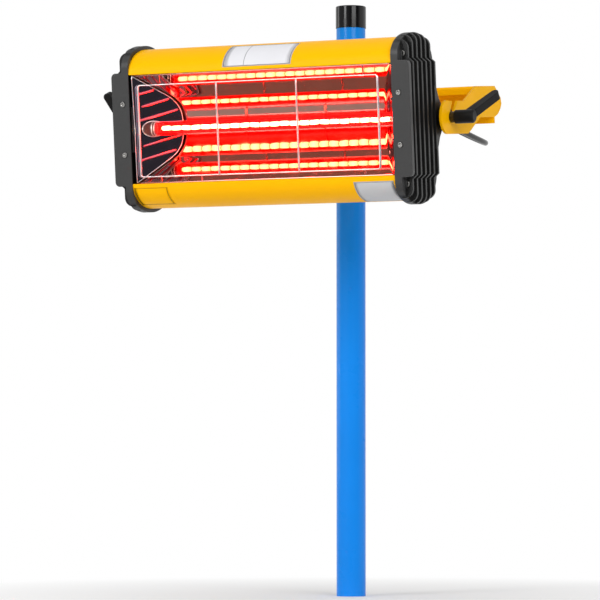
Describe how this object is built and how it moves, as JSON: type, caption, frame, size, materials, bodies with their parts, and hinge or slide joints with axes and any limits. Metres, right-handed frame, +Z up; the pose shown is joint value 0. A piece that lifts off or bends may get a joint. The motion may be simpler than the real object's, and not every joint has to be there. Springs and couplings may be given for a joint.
{
  "type": "infrared paint curing lamp",
  "caption": "Short-wave infrared curing lamp: yellow housing with black finned end caps and a quartz tube, tilting in a yoke that slides on a blue upright post",
  "frame": {"origin": "centre of the post's lower end, on the foot plane", "axes": "+Z up along the post, -Y the way the head faces, +X to the right as one looks at the lit side"},
  "size_m": [0.442, 0.3024, 0.6469],
  "materials": {
    "blue_paint": "glossy powder coat, very slight orange peel",
    "yellow_paint": "satin powder coat on folded sheet",
    "black_paint": "satin black cast clamp",
    "gloss_black": "glossy moulded cap",
    "black_plastic": "fine-grained heat-resistant moulding",
    "nylon": "smooth black nylon",
    "cord_rubber": "smooth black sheath",
    "zinc_steel": "bright zinc",
    "zinc_sheet": "zinc-coated sheet",
    "dark_steel": "blackened steel",
    "guard_steel": "bright drawn wire",
    "mirror_sheet": "polished aluminium reflector",
    "quartz": "clear fused quartz",
    "filament_wire": "heated coil, lit red",
    "ceramic": "white ceramic",
    "nickel": "nickel-plated pins"
  },
  "bodies": {
    "post": {"post_tube": "blue_paint", "post_cap": "gloss_black"},
    "liner": {"clamp_liner": "nylon"},
    "clamp": {"post_collar": "black_paint", "yoke": "yellow_paint", "yoke_bolts": "zinc_steel", "mains_cord": "cord_rubber", "cord_coil": "cord_rubber", "cord_tail": "cord_rubber", "plug_body": "black_plastic", "plug_pins": "nickel", "cord_tie": "nylon"},
    "knob": {"clamp_knob": "black_plastic", "knob_screw": "zinc_steel"},
    "head": {"housing_shell": "yellow_paint", "rear_cover": "yellow_paint", "cover_screws": "zinc_steel", "end_cap_left": "black_plastic", "end_cap_right": "black_plastic", "cap_screws": "zinc_steel", "reflector_trough": "mirror_sheet", "reflector_end_left": "mirror_sheet", "reflector_end_right": "mirror_sheet", "reflector_screws": "zinc_steel", "quartz_tube": "quartz", "filament": "filament_wire", "lamp_base_left": "ceramic", "lamp_base_right": "ceramic", "lamp_holder_left": "zinc_sheet", "lamp_holder_right": "zinc_sheet", "inner_chassis": "zinc_sheet", "guard_wire": "guard_steel", "gland_body": "black_plastic", "gland_nut": "nylon", "strain_relief": "cord_rubber", "cord_inlet": "cord_rubber", "terminal_block": "ceramic", "pivot_stud_left": "zinc_steel", "pivot_stud_right": "zinc_steel", "pivot_washer_left": "nylon", "pivot_washer_right": "nylon"},
    "lever_r": {"lever_right": "black_plastic", "lever_insert_right": "dark_steel"},
    "lever_l": {"lever_left": "black_plastic", "lever_insert_left": "dark_steel"}
  },
  "joints": [
    {"name": "clamp_slide", "type": "slide", "parent": "post", "child": "liner", "axis": [0, 0, 1], "range_m": [-0.36, 0.05]},
    {"name": "clamp_turn", "type": "hinge", "parent": "liner", "child": "clamp", "pos_m": [0, 0, 0.52972], "axis": [0, 0, 1], "range_deg": [-180, 180]},
    {"name": "knob_turn", "type": "hinge", "parent": "clamp", "child": "knob", "pos_m": [0, 0.05, 0.52972], "axis": [0, 1, 0], "range_deg": [-180, 180]},
    {"name": "head_tilt", "type": "hinge", "parent": "clamp", "child": "head", "pos_m": [0, -0.145, 0.5065], "axis": [1, 0, 0], "range_deg": [-40, 85], "deforming": ["mains_cord"]},
    {"name": "lever_right_turn", "type": "hinge", "parent": "head", "child": "lever_r", "pos_m": [0.19, -0.145, 0.5065], "axis": [1, 0, 0], "range_deg": [0, 150]},
    {"name": "lever_left_turn", "type": "hinge", "parent": "head", "child": "lever_l", "pos_m": [-0.19, -0.145, 0.5065], "axis": [1, 0, 0], "range_deg": [0, 150]}
  ]
}
